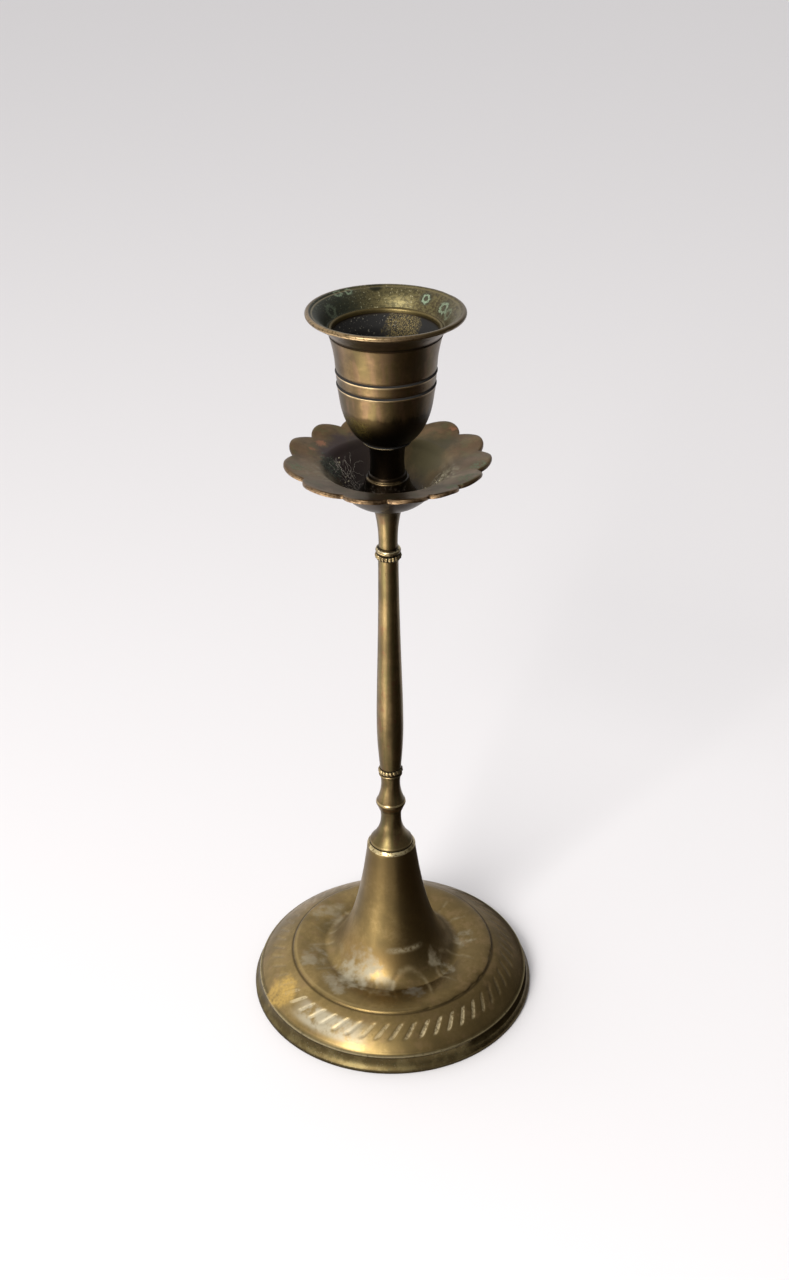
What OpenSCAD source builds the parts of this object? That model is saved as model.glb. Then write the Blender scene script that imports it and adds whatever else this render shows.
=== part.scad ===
// Brass taper candlestick with a scalloped drip pan: a flared candle cup and its
// foot screw down over the pan on a stud in the turned stem. A tie rod, a washer
// and a hex nut in the hollow base hold the stem's lower pieces together.
// The axis of every turned piece is Z, and Z = 0 is the surface it stands on.

/* [Overall] */
// Height from the table to the top of the cup's rim
overall_h = 177; // [150:1:240]
// Diameter across the base's lower edge
base_d = 69.8; // [60:0.5:95]

/* [Candle cup] */
// Diameter across the cup's rim
rim_d = 32.7; // [31:0.1:42]
// Diameter of the throat, where the flared lip meets the bore
throat_d = 22; // [21.4:0.1:26]
// Diameter of the straight candle bore
bore_d = 18.6; // [16:0.1:18.8]
// Length of the straight candle bore
bore_l = 10; // [8:0.5:10.5]
// Height of the cup without its foot
cup_h = 28.8; // [28:0.1:36]
// Thickness of the cup's wall and of its lip
cup_wall = 1; // [0.8:0.05:1.1]
// Thickness of the cup's bottom
cup_floor = 2.6; // [2:0.1:3.4]

/* [Cup foot] */
// Height of the turned foot between pan and cup
foot_h = 13.1; // [11:0.1:18]
// Diameter of the foot's waist
foot_waist_d = 7.3; // [6.5:0.1:9]
// Diameter of the foot's flange, which stands on the pan
foot_flange_d = 12.8; // [11.5:0.1:14.5]

/* [Drip pan] */
// Diameter across the tips of the petals
pan_tip_d = 45; // [42:0.1:60]
// Depth of a notch between two petals
notch_depth = 2.2; // [1.2:0.1:2.4]
// Diameter of the bowl at its upper fold
pan_fold_d = 28.6; // [26:0.1:32]
// Diameter of the bowl's flat floor, measured underneath
pan_floor_d = 15; // [14.5:0.1:18]
// Height of the bowl from its underside to the fold
pan_bowl_h = 7.8; // [6:0.1:11]
// Rise of the petals from the fold to their tips
petal_rise = 2; // [1.2:0.1:4]
// Thickness of the pan's metal
pan_t = 1; // [0.8:0.05:1.4]

/* [Stem] */
// Height of the trumpet-shaped neck under the pan
neck_h = 10.9; // [9:0.1:14]
// Diameter of the seat that the neck gives the pan
neck_seat_d = 6.8; // [6.4:0.1:9]
// Height of the upper ring
upper_ring_h = 2.7; // [2.2:0.1:4]
// Diameter of the upper ring
upper_ring_d = 5.7; // [5.4:0.1:8]
// Diameter of the main stem's top
stem_top_d = 4.5; // [4.4:0.1:5.2]
// Diameter of the main stem's belly
stem_belly_d = 6.2; // [6:0.1:9]
// Height of the belly above the main stem's lower end
stem_belly_z = 12; // [8:0.5:16]
// Height of the lower ring
lower_ring_h = 2.2; // [1.8:0.1:4]
// Diameter of the lower ring
lower_ring_d = 5.8; // [5.4:0.1:8]
// Height of the knop
knop_h = 9.8; // [9.5:0.1:15]
// Diameter of the knop's widest turn
knop_d = 7.1; // [6.6:0.1:10]
// Height of the stem's bell-shaped foot
stem_foot_h = 9.6; // [9:0.1:14]
// Diameter of the stem foot's lower edge
stem_foot_d = 10.4; // [9.5:0.1:10.6]
// Diameter of the thinnest turns of the stem
waist_d = 4.5; // [4.4:0.1:5.4]

/* [Base] */
// Height of the base from the table to its neck rim
base_h = 43.2; // [38:0.1:60]
// Diameter of the base's neck rim
base_neck_d = 11.7; // [11.5:0.1:14]
// Diameter of the step between the inner field and the outer band
base_step_d = 50; // [46:0.1:54]
// Thickness of the base's metal
base_wall = 1.2; // [0.8:0.05:1.5]
// Thickness of the closed top of the base's neck
base_top_t = 2; // [1.5:0.1:3]

/* [Studs and base nut] */
// Diameter of the studs and of the tie rod
stud_d = 3; // [2.5:0.1:3.2]
// Clearance between a stud and its hole, measured on the radius
stud_gap = 0.05; // [0.03:0.01:0.1]
// Width across the flats of the base nut
nut_af = 5.5; // [5:0.1:6.4]
// Height of the base nut
nut_h = 2.4; // [2:0.1:2.6]
// Outer diameter of the washer under the base's neck
washer_d = 8.4; // [7.5:0.1:8.8]
// Thickness of the washer
washer_t = 0.8; // [0.5:0.1:1]
// Free length of tie rod below the nut, which lets the nut be backed off
nut_travel = 4; // [3:0.5:8]

/* [Hidden] */
$fn = 96;

// Levels, from the table up. The main stem takes up what the other heights leave.
knop_z = base_h + stem_foot_h;
lower_ring_z = knop_z + knop_h;
main_stem_z = lower_ring_z + lower_ring_h;
cup_z = overall_h - cup_h;
pan_z = cup_z - foot_h - pan_t;
neck_z = pan_z - neck_h;
upper_ring_z = neck_z - upper_ring_h;

// Radii shared between mating pieces
stud_hole_r = stud_d / 2 + stud_gap;
waist_r = waist_d / 2;

// Studs: how far each one reaches into the pieces at its ends
neck_hold = 6;          // length of the cup stud held in the neck
neck_stud_up = 3;       // reach of the neck stud above the upper ring
neck_stud_down = 7;     // reach of the neck stud below the upper ring
rod_hold = 16;          // length of the tie rod held in the main stem
end_gap = 0.3;          // free space at a stud's end
stud_cover = 0.8;       // metal of the cup's bottom left above the cup stud's hole
stud_chamfer = 0.3;     // chamfer on the ends of studs and rods

// A smooth curve from a to d that leaves towards b and arrives from c
function curve(a, b, c, d, n = 10) =
    [for (i = [0:n]) let (t = i / n, u = 1 - t)
        u * u * u * a + 3 * u * u * t * b + 3 * u * t * t * c + t * t * t * d];

// A round bead of height h, standing on level z, whose crown reaches radius r
function bead(r, z, h, n = 10) =
    [for (i = [0:n]) let (a = -90 + 180 * i / n)
        [r - h / 2 + h / 2 * cos(a), z + h / 2 + h / 2 * sin(a)]];

module turned(points) {
    rotate_extrude() polygon(points);
}

module stud(z, length) {
    r = stud_d / 2;
    c = stud_chamfer;
    turned([[0, z], [r - c, z], [r, z + c], [r, z + length - c],
            [r - c, z + length], [0, z + length]]);
}

module stud_hole(z, length) {
    translate([0, 0, z]) cylinder(r = stud_hole_r, h = length);
}

// ---- Candle cup: bell-shaped, with a flared lip, two grooves and a bead below ----
cup_bead_r = 5.2;                       // bead round the cup's bottom edge
cup_bead_h = 0.6;
bore_r = bore_d / 2;
throat_r = throat_d / 2;
rim_r = rim_d / 2;
rim_edge = 1.1;                         // height of the rim's rounded edge
lip_drop = 3.9;                         // throat below the rim's top
lead_in = 3.3;                          // taper between throat and bore
bore_top = overall_h - lip_drop - lead_in;
bore_bottom = bore_top - bore_l;
body_top_r = throat_r + 0.7;            // body where the lip springs from it
body_top_z = overall_h - 4.9;
straight_r = throat_r - 0.35;           // upper end of the body's straight cone
straight_z = overall_h - 10;
shoulder_r = bore_r + cup_wall - 0.1;   // body below the grooves
shoulder_z = bore_bottom + 1;
groove_depth = 0.3;
groove_w = 0.8;
groove_low = overall_h - 15.4;
groove_high = overall_h - 12.6;

// The outside of the body is a cone from its shoulder to where it starts to flare
function body_r(z) = shoulder_r
    + (straight_r - shoulder_r) * (z - shoulder_z) / (straight_z - shoulder_z);

// A groove with a crisp lower lip that stands a little proud
function groove(z) =
    [[body_r(z - 0.5), z - 0.5], [body_r(z) + 0.12, z - 0.1],
     [body_r(z) - groove_depth, z + 0.15], [body_r(z + groove_w), z + groove_w]];

module candle_cup() {
    outside = concat(
        [[0, cup_z]],
        bead(cup_bead_r, cup_z, cup_bead_h, 6),
        curve([cup_bead_r - 0.2, cup_z + cup_bead_h + 0.05],
              [cup_bead_r + 2, cup_z + 1.6],
              [shoulder_r - 1.05, shoulder_z - 7.3],
              [shoulder_r - 0.45, shoulder_z - 3.2], 14),
        [[shoulder_r, shoulder_z]],
        groove(groove_low),
        groove(groove_high),
        curve([straight_r, straight_z], [straight_r + 0.2, straight_z + 1.6],
              [body_top_r - 0.5, body_top_z - 1.6], [body_top_r, body_top_z], 6),
        [[body_top_r - 0.15, body_top_z + 0.15]],
        curve([body_top_r, body_top_z + 0.4], [body_top_r + 0.9, body_top_z + 1.6],
              [rim_r - 2.1, overall_h - rim_edge - 0.9],
              [rim_r - 0.7, overall_h - rim_edge - 0.2], 8),
        bead(rim_r, overall_h - rim_edge, rim_edge, 8));
    inside = concat(
        [[rim_r - 1.2, overall_h - 0.25]],
        curve([rim_r - 1.5, overall_h - 0.5],
              [rim_r - 3.2, overall_h - 1.3],
              [throat_r + 1.6, overall_h - lip_drop + 1.2],
              [throat_r + 0.9, overall_h - lip_drop + 0.2], 10),
        [[throat_r + 0.6, overall_h - lip_drop + 0.3],
         [throat_r + 0.2, overall_h - lip_drop + 0.2],
         [throat_r, overall_h - lip_drop],
         [throat_r - 0.1, overall_h - lip_drop - 0.4],
         [bore_r, bore_top], [bore_r, bore_bottom]],
        curve([bore_r - 0.05, bore_bottom - 0.5],
              [bore_r - 0.6, bore_bottom - 4.5],
              [cup_bead_r + 1.6, cup_z + cup_floor + 0.1],
              [cup_bead_r - 0.8, cup_z + cup_floor], 12),
        [[0, cup_z + cup_floor]]);
    color("darkgoldenrod") difference() {
        turned(concat(outside, inside));
        stud_hole(cup_z - 1, 1 + cup_floor - stud_cover);
    }
}

// ---- Cup foot: a spool with a stepped, spreading flange ----
foot_z = pan_z + pan_t;
foot_waist_r = foot_waist_d / 2;
foot_flange_r = foot_flange_d / 2;
flange_edge = 1.2;                      // height of the flange's upright edge
flange_h = 6.1;                         // height of the flange with its cove

module cup_foot() {
    points = concat(
        [[0, foot_z], [foot_flange_r, foot_z],
         [foot_flange_r, foot_z + flange_edge]],
        curve([foot_flange_r - 0.3, foot_z + flange_edge + 0.3],
              [foot_flange_r - 1.1, foot_z + flange_edge + 1],
              [foot_waist_r + 1.2, foot_z + 3.6],
              [foot_waist_r + 1, foot_z + flange_h - 1.2], 8),
        [[foot_waist_r + 0.55, foot_z + flange_h - 1],
         [foot_waist_r + 0.5, foot_z + flange_h - 0.3]],
        curve([foot_waist_r + 0.15, foot_z + flange_h],
              [foot_waist_r - 0.15, foot_z + flange_h + 2],
              [foot_waist_r - 0.1, cup_z - 2],
              [foot_waist_r + 0.5, cup_z], 8),
        [[0, cup_z]]);
    color("saddlebrown") difference() {
        turned(points);
        stud_hole(foot_z - 1, foot_h + 2);
    }
}

module cup_stud() {
    color("silver")
        stud(pan_z - neck_hold, neck_hold + pan_t + foot_h + cup_floor - stud_cover - end_gap);
}

// ---- Drip pan: a dished bowl whose flat margin is cut into uneven petals ----
// Angle that each petal takes up, anticlockwise from the notch at the front
petal_angles = [25, 22, 25, 28, 28, 26, 28, 29, 24, 28, 36, 34, 27];
first_notch = -90;
pan_tip_r = pan_tip_d / 2;
notch_r = pan_tip_r - notch_depth;
pan_fold_r = pan_fold_d / 2;
pan_floor_r = pan_floor_d / 2;
pan_hole_gap = 0.25;                    // the pan turns freely round the stud

// Angles of all petals before number i, added up
function angle_before(i) = i == 0 ? 0 : angle_before(i - 1) + petal_angles[i - 1];

// A petal is a circle through its tip and the notches at both its sides
function petal_centre(w) = (pan_tip_r * pan_tip_r - notch_r * notch_r)
    / (2 * (pan_tip_r - notch_r * cos(w / 2)));

module petal_outline() {
    circle(r = notch_r - 1.5);
    for (i = [0 : len(petal_angles) - 1]) {
        w = petal_angles[i];
        c = petal_centre(w);
        rotate(first_notch + angle_before(i) + w / 2)
            translate([c, 0]) circle(r = pan_tip_r - c);
    }
}

module drip_pan() {
    fold_z = pan_z + pan_bowl_h;
    margin = pan_tip_r + 1;
    slope = petal_rise / (pan_tip_r - pan_fold_r);
    rim_z = fold_z + slope * (margin - pan_fold_r);
    // underside of the bowl, from the floor to the fold
    under = curve([pan_floor_r - 2.5, pan_z], [pan_floor_r + 1, pan_z],
                  [pan_fold_r - 3.4, fold_z - 2.9], [pan_fold_r, fold_z], 12);
    // upper surface: the same bowl, one thickness higher and further in
    over = curve([margin, rim_z + pan_t], [pan_fold_r + 2, fold_z + 2 * slope + pan_t],
                 [pan_fold_r - 0.3, fold_z - 0.1 + pan_t],
                 [pan_fold_r - 1.4, fold_z - 1.3 + pan_t], 8);
    floor_over = curve([pan_fold_r - 1.7, fold_z - 1.6 + pan_t],
                       [pan_fold_r - 3.9, fold_z - 3.6 + pan_t],
                       [pan_floor_r + 0.6, pan_z + pan_t],
                       [pan_floor_r - 0.7, pan_z + pan_t], 12);
    color("peru") difference() {
        intersection() {
            turned(concat([[0, pan_z]], under, [[margin, rim_z]],
                          over, floor_over, [[0, pan_z + pan_t]]));
            translate([0, 0, pan_z - 1])
                linear_extrude(height = pan_bowl_h + petal_rise + pan_t + 3)
                    petal_outline();
        }
        translate([0, 0, pan_z - 1])
            cylinder(r = stud_d / 2 + pan_hole_gap, h = pan_t + 2);
    }
}

// ---- Stem, from the top down ----
neck_top_r = neck_seat_d / 2;
neck_waist_r = waist_r - 0.15;

module stem_neck() {
    points = concat(
        [[0, neck_z], [neck_waist_r + 0.05, neck_z]],
        curve([neck_waist_r, neck_z + 1], [neck_waist_r, neck_z + 4.4],
              [neck_waist_r + 0.35, pan_z - 4.2], [neck_top_r - 0.5, pan_z - 2.2], 10),
        [[neck_top_r - 0.1, pan_z - 1.2], [neck_top_r, pan_z - 0.7],
         [neck_top_r, pan_z], [0, pan_z]]);
    color("peru") difference() {
        turned(points);
        stud_hole(pan_z - neck_hold - end_gap / 2, neck_hold + 1);
        stud_hole(neck_z - 1, 1 + neck_stud_up + end_gap / 2);
    }
}

module neck_stud() {
    color("silver")
        stud(upper_ring_z - neck_stud_down, neck_stud_down + upper_ring_h + neck_stud_up);
}

// Two beads, one above the other, on a common hole
module double_ring(z, h, d) {
    points = concat([[stud_hole_r, z]], bead(d / 2, z, h / 2, 6),
                    bead(d / 2 - 0.05, z + h / 2, h / 2, 6), [[stud_hole_r, z + h]]);
    turned(points);
}

module upper_ring() {
    color("gold") double_ring(upper_ring_z, upper_ring_h, upper_ring_d);
}

module main_stem() {
    belly = stem_belly_d / 2;
    top = stem_top_d / 2;
    belly_z = main_stem_z + stem_belly_z;
    rise = upper_ring_z - belly_z;
    points = concat(
        [[0, main_stem_z], [waist_r + 0.25, main_stem_z]],
        curve([waist_r + 0.28, main_stem_z + 0.5], [waist_r + 0.45, main_stem_z + 3],
              [belly, belly_z - 5], [belly, belly_z], 8),
        curve([belly, belly_z + 1.5], [belly, belly_z + 0.22 * rise],
              [top + 0.1, belly_z + 0.55 * rise], [top, upper_ring_z - 0.5], 12),
        [[top, upper_ring_z], [0, upper_ring_z]]);
    color("peru") difference() {
        turned(points);
        stud_hole(upper_ring_z - neck_stud_down - end_gap, neck_stud_down + 1);
        stud_hole(main_stem_z - 1, 1 + rod_hold + end_gap);
    }
}

module lower_ring() {
    color("gold") double_ring(lower_ring_z, lower_ring_h, lower_ring_d);
}

module knop() {
    r = knop_d / 2;
    points = concat(
        [[0, knop_z], [waist_r + 0.5, knop_z], [waist_r + 0.65, knop_z + 0.25],
         [r - 0.15, knop_z + 1.5]],
        curve([r - 0.05, knop_z + 1.7], [r + 0.05, knop_z + 2],
              [r, knop_z + 2.3], [r - 0.15, knop_z + 2.5], 4),
        curve([r - 0.35, knop_z + 2.75], [r - 0.75, knop_z + 3.9],
              [waist_r, lower_ring_z - 4.2], [waist_r, lower_ring_z - 2.2], 10),
        [[waist_r + 0.2, lower_ring_z], [0, lower_ring_z]]);
    color("peru") difference() {
        turned(points);
        stud_hole(knop_z - 1, knop_h + 2);
    }
}

module stem_foot() {
    r = stem_foot_d / 2;
    points = concat(
        [[0, base_h], [r - 0.2, base_h], [r, base_h + 0.2]],
        curve([r - 0.1, base_h + 0.5], [r - 1.1, base_h + 1.7],
              [waist_r + 0.55, base_h + 3.5], [waist_r + 0.25, base_h + 6], 10),
        [[waist_r + 0.17, knop_z - 2.6], [waist_r + 0.17, knop_z - 1.8],
         [waist_r + 0.4, knop_z], [0, knop_z]]);
    color("peru") difference() {
        turned(points);
        stud_hole(base_h - 1, stem_foot_h + 2);
    }
}

washer_z = base_h - base_top_t - washer_t;
nut_z = washer_z - nut_h;

module tie_rod() {
    bottom = nut_z - nut_travel;
    color("silver") stud(bottom, main_stem_z + rod_hold - bottom);
}

// ---- Base: a hollow shell with a trumpet neck, a raised field and an outer band ----
base_r = base_d / 2;
step_r = base_step_d / 2;
neck_r = base_neck_d / 2;
skirt_h = 4.3;                          // height of the upright skirt
skirt_in = 1.5;                         // skirt's top, in from the base's edge
step_z = 9.9;                           // outer band at the step
step_h = 0.5;                           // field's edge above the outer band
field_z = 10.1;                         // field at the foot of the trumpet
field_r = step_r - 8;                   // radius where the trumpet runs out

module base_shell() {
    band_r = base_r - skirt_in;
    outer = concat(
        [[base_r, 0], [base_r, 0.8]],
        curve([base_r - 0.1, 1], [base_r - 0.9, 1.6], [band_r + 0.1, 2.8],
              [band_r + 0.1, skirt_h - 0.5], 5),
        [[band_r + 0.25, skirt_h - 0.25], [band_r, skirt_h]],
        curve([band_r - 0.3, skirt_h + 0.15], [band_r - 1.8, skirt_h + 1.9],
              [step_r + 3.2, step_z - 1.1], [step_r + 0.3, step_z], 8),
        [[step_r, step_z + 0.1], [step_r - 0.25, step_z + step_h]],
        curve([step_r - 0.6, step_z + step_h + 0.1],
              [step_r - 2.5, field_z + 1], [field_r + 2.5, field_z + 0.8],
              [field_r, field_z], 8),
        curve([field_r - 0.6, field_z + 0.1], [neck_r + 7, field_z + 0.9],
              [neck_r + 3.1, base_h - 23.2], [neck_r + 0.75, base_h - 7], 14),
        [[neck_r + 0.05, base_h - 2], [neck_r, base_h - 0.9],
         [neck_r - 0.15, base_h - 0.6], [neck_r - 0.6, base_h]]);
    top_in = neck_r + 0.4 - base_wall;
    inner = concat(
        [[0, base_h], [0, base_h - base_top_t], [top_in, base_h - base_top_t]],
        curve([neck_r + 0.7 - base_wall, base_h - 7], [neck_r + 3 - base_wall, base_h - 24],
              [neck_r + 6.1, field_z - 0.2], [field_r - 0.8, field_z - base_wall], 12),
        [[step_r - 1, step_z + step_h - base_wall - 0.1],
         [step_r - 0.5, step_z - base_wall]],
        curve([step_r + 0.2, step_z - 0.1 - base_wall],
              [step_r + 3, step_z - 1.4 - base_wall],
              [band_r - 2.3, skirt_h + 1.8 - base_wall], [band_r - base_wall, skirt_h - 0.6], 8),
        [[band_r - base_wall, 1.6], [base_r - base_wall - 0.3, 0]]);
    color("goldenrod") difference() {
        turned(concat(outer, inner));
        stud_hole(base_h - base_top_t - 1, base_top_t + 2);
    }
}

module base_washer() {
    color("silver") difference() {
        translate([0, 0, washer_z]) cylinder(d = washer_d, h = washer_t);
        stud_hole(washer_z - 1, washer_t + 2);
    }
}

module base_nut() {
    color("silver") difference() {
        translate([0, 0, nut_z]) cylinder(d = nut_af / cos(30), h = nut_h, $fn = 6);
        stud_hole(nut_z - 1, nut_h + 2);
    }
}

candle_cup();
cup_foot();
cup_stud();
drip_pan();
stem_neck();
neck_stud();
upper_ring();
main_stem();
lower_ring();
knop();
stem_foot();
tie_rod();
base_shell();
base_washer();
base_nut();
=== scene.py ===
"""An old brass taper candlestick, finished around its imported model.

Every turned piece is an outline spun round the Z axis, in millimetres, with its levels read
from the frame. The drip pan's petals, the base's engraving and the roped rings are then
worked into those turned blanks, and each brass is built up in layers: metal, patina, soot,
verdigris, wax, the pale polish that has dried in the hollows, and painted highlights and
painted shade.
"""

import math
import random

import bpy
from mathutils import Matrix, Vector, noise


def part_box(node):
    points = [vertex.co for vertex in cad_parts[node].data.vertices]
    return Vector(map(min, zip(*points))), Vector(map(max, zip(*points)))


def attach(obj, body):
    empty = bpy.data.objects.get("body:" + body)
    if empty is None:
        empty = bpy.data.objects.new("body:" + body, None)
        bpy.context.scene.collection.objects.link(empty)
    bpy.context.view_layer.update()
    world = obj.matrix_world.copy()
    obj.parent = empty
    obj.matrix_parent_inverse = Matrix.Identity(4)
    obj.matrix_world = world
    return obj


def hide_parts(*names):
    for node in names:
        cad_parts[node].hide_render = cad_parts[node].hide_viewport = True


MM = 0.001
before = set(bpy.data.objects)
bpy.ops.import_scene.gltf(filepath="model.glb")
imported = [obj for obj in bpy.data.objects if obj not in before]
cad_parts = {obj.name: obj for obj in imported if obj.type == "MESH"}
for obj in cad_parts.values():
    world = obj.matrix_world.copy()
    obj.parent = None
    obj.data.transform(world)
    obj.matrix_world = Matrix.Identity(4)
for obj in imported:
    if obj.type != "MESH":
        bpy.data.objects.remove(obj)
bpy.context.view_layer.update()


# ---- The frame's levels, in millimetres ----

def level(node, top=False):
    """Height of a node's lower end, or of its upper end."""
    low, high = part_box(node)
    return (high if top else low).z / MM


def radius(node):
    """Largest radius of a node."""
    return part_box(node)[1].y / MM


cup_z = level("candle_cup")
rim_z = level("candle_cup", True)
rim_r = radius("candle_cup")
foot_z = level("cup_foot")
pan_z = level("drip_pan")
pan_tip_r = radius("drip_pan")
neck_z = level("stem_neck")
upper_ring_z = level("upper_ring")
stem_z = level("main_stem")
lower_ring_z = level("lower_ring")
knop_z = level("knop")
stem_foot_z = level("stem_foot")
base_top = level("base_shell", True)
base_r = radius("base_shell")
stud_r = radius("tie_rod")
CLEARANCE = 0.05
hole_r = stud_r + CLEARANCE

# Sizes that both a piece and its finish use
cup_grooves = (rim_z - 15.4, rim_z - 12.6)
throat_r = 11.0
pan_fold_r = 14.3
step_r = 25.0
skirt_h = 4.3


# ---- Camera ----

def add_camera():
    """The camera stands a little above the cup and looks down at the stem."""
    camera = bpy.data.objects.new("camera", bpy.data.cameras.new("camera"))
    bpy.context.scene.collection.objects.link(camera)
    aside, in_front, above = 0.0012, 0.3231, 0.2919
    tilt, lean = math.radians(59.22), math.radians(-0.5)
    camera.data.lens = 46.94
    camera.data.sensor_width = 36
    camera.data.clip_start = 0.01
    stand = Matrix.Translation((aside, -in_front, above))
    camera.matrix_world = stand @ Matrix.Rotation(tilt, 4, "X") @ Matrix.Rotation(lean, 4, "Z")
    bpy.context.scene.camera = camera


add_camera()


# ---- Outlines ----

def curve(a, b, c, d, n=12):
    """Points of a smooth curve from a to d that leaves towards b and arrives from c."""
    points = []
    for i in range(n + 1):
        t = i / n
        u = 1 - t
        points.append(tuple(
            u ** 3 * a[k] + 3 * u * u * t * b[k] + 3 * u * t * t * c[k] + t ** 3 * d[k]
            for k in (0, 1)))
    return points


def bead(r, z, h, n=10):
    """A round bead of height h on level z, whose crown reaches radius r."""
    turns = [math.radians(-90 + 180 * i / n) for i in range(n + 1)]
    return [(r - h / 2 + h / 2 * math.cos(a), z + h / 2 + h / 2 * math.sin(a)) for a in turns]


def line(a, b, n):
    """Points from a to b, both ends kept, in n equal steps."""
    return [(a[0] + (b[0] - a[0]) * i / n, a[1] + (b[1] - a[1]) * i / n) for i in range(n + 1)]


# ---- Turning ----

def lone(piece):
    """Selects only this piece and makes it the active one."""
    bpy.ops.object.select_all(action="DESELECT")
    piece.select_set(True)
    bpy.context.view_layer.objects.active = piece


def turn(name, outline, steps=128, closed=False, smooth_under=38):
    """Draws an outline by extruding one point, then spins it round the Z axis.

    A closed outline goes round a hole; an open one starts and ends on the axis.
    """
    bpy.ops.object.select_all(action="DESELECT")
    bpy.ops.mesh.primitive_plane_add(size=MM)
    piece = bpy.context.active_object
    piece.name = name
    start = outline[0]
    bpy.ops.object.mode_set(mode="EDIT")
    bpy.ops.mesh.merge(type="CENTER")
    bpy.ops.transform.translate(value=(start[0] * MM, 0, start[1] * MM))
    for (r, z), (next_r, next_z) in zip(outline, outline[1:]):
        step = ((next_r - r) * MM, 0, (next_z - z) * MM)
        bpy.ops.mesh.extrude_vertices_move(TRANSFORM_OT_translate={"value": step})
    if closed:
        last = outline[-1]
        step = ((start[0] - last[0]) * MM, 0, (start[1] - last[1]) * MM)
        bpy.ops.mesh.extrude_vertices_move(TRANSFORM_OT_translate={"value": step})
    bpy.ops.mesh.select_all(action="SELECT")
    bpy.ops.mesh.remove_doubles(threshold=0.0005 * MM)
    bpy.ops.object.mode_set(mode="OBJECT")
    lone(piece)
    spin = piece.modifiers.new("spin", "SCREW")
    spin.steps = spin.render_steps = steps
    spin.use_merge_vertices = True
    spin.merge_threshold = 0.002 * MM
    bpy.ops.object.modifier_apply(modifier=spin.name)
    bpy.ops.object.mode_set(mode="EDIT")
    bpy.ops.mesh.select_all(action="SELECT")
    bpy.ops.mesh.normals_make_consistent(inside=False)
    bpy.ops.object.mode_set(mode="OBJECT")
    lone(piece)
    bpy.ops.object.shade_smooth_by_angle(angle=math.radians(smooth_under))
    return piece


def work(piece, move):
    """Moves every point of a piece: move takes radius, angle and height in millimetres."""
    for vertex in piece.data.vertices:
        x, y, z = vertex.co / MM
        r, angle, z = move(math.hypot(x, y), math.atan2(y, x), z)
        vertex.co = Vector((r * math.cos(angle), r * math.sin(angle), z)) * MM
    piece.data.update()


def store(piece, name, amounts):
    """Stores one number from 0 to 1 on every point, in the order of the points."""
    layer = piece.data.attributes.new(name, "FLOAT", "POINT")
    layer.data.foreach_set("value", amounts)


def mark_inside(piece):
    """Marks with 1 the points whose surface looks up or towards the axis."""
    least_up, least_in = 0.05, 0.2
    marks = []
    for vertex in piece.data.vertices:
        outward = Vector((vertex.co.x, vertex.co.y, 0)).normalized()
        looks_in = vertex.normal.z > least_up or vertex.normal.dot(outward) < -least_in
        marks.append(1.0 if looks_in else 0.0)
    store(piece, "inside", marks)


def ease(x, low, high):
    """0 below low and 1 above high, with a smooth step between."""
    t = min(max((x - low) / (high - low), 0), 1)
    return t * t * (3 - 2 * t)


def between_angles(angle, centre):
    """Signed difference of two angles in degrees, from -180 to 180."""
    return (math.degrees(angle) - centre + 180) % 360 - 180


# ---- Shader building ----

class Value:
    """A number that a node gives. Sums and products with it add Math nodes."""

    def __init__(self, shader, socket):
        self.shader = shader
        self.socket = socket

    def maths(self, operation, a, b=0.0):
        """One Math node on two values or numbers."""
        return self.shader.node("Math", {"operation": operation}, {0: a, 1: b})

    def __add__(self, other):
        return self.maths("ADD", self, other)

    def __radd__(self, other):
        return self.maths("ADD", other, self)

    def __sub__(self, other):
        return self.maths("SUBTRACT", self, other)

    def __rsub__(self, other):
        return self.maths("SUBTRACT", other, self)

    def __mul__(self, other):
        return self.maths("MULTIPLY", self, other)

    def __rmul__(self, other):
        return self.maths("MULTIPLY", other, self)

    def __truediv__(self, other):
        return self.maths("DIVIDE", self, other)

    def __pow__(self, other):
        return self.maths("POWER", self, other)

    def __abs__(self):
        return self.maths("ABSOLUTE", self)

    def sine(self):
        return self.maths("SINE", self)

    def cosine(self):
        return self.maths("COSINE", self)

    def rise(self, low, high):
        """0 below low and 1 above high, with a smooth step between."""
        settings = {"interpolation_type": "SMOOTHSTEP"}
        inputs = {"Value": self, "From Min": low, "From Max": high}
        return self.shader.node("MapRange", settings, inputs)

    def fall(self, low, high):
        """1 below low and 0 above high, with a smooth step between."""
        return 1 - self.rise(low, high)

    def near(self, centre, width):
        """1 at centre, falling smoothly to 0 at width to either side."""
        return abs(self - centre).fall(0, width)


class Shader:
    """A node tree with one method that adds any node."""

    def __init__(self, tree):
        self.tree = tree
        tree.nodes.clear()

    def node(self, kind, settings=None, inputs=None, output=0):
        """Adds a node, sets it up, feeds its sockets and returns one of its outputs."""
        added = self.tree.nodes.new("ShaderNode" + kind)
        for key, value in (settings or {}).items():
            setattr(added, key, value)
        for key, value in (inputs or {}).items():
            if isinstance(value, Value):
                self.tree.links.new(value.socket, added.inputs[key])
            else:
                added.inputs[key].default_value = value
        return Value(self, added.outputs[output]) if added.outputs else None

    def vector(self, x, y, z):
        """A vector made of three numbers."""
        return self.node("CombineXYZ", None, {0: x, 1: y, 2: z})

    def mix(self, mask, a, b):
        """Colour a where the mask is 0 and colour b where it is 1."""
        inputs = {0: mask, 6: rgb(a), 7: rgb(b)}
        return self.node("Mix", {"data_type": "RGBA"}, inputs, 2)


def rgb(color):
    """Three 0-255 sRGB numbers as the linear colour a socket takes; a Value stays as it is."""
    if isinstance(color, Value):
        return color
    linear = [(c / 255 / 12.92) if c <= 10 else ((c / 255 + 0.055) / 1.055) ** 2.4 for c in color]
    return (*linear, 1.0)


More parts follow.
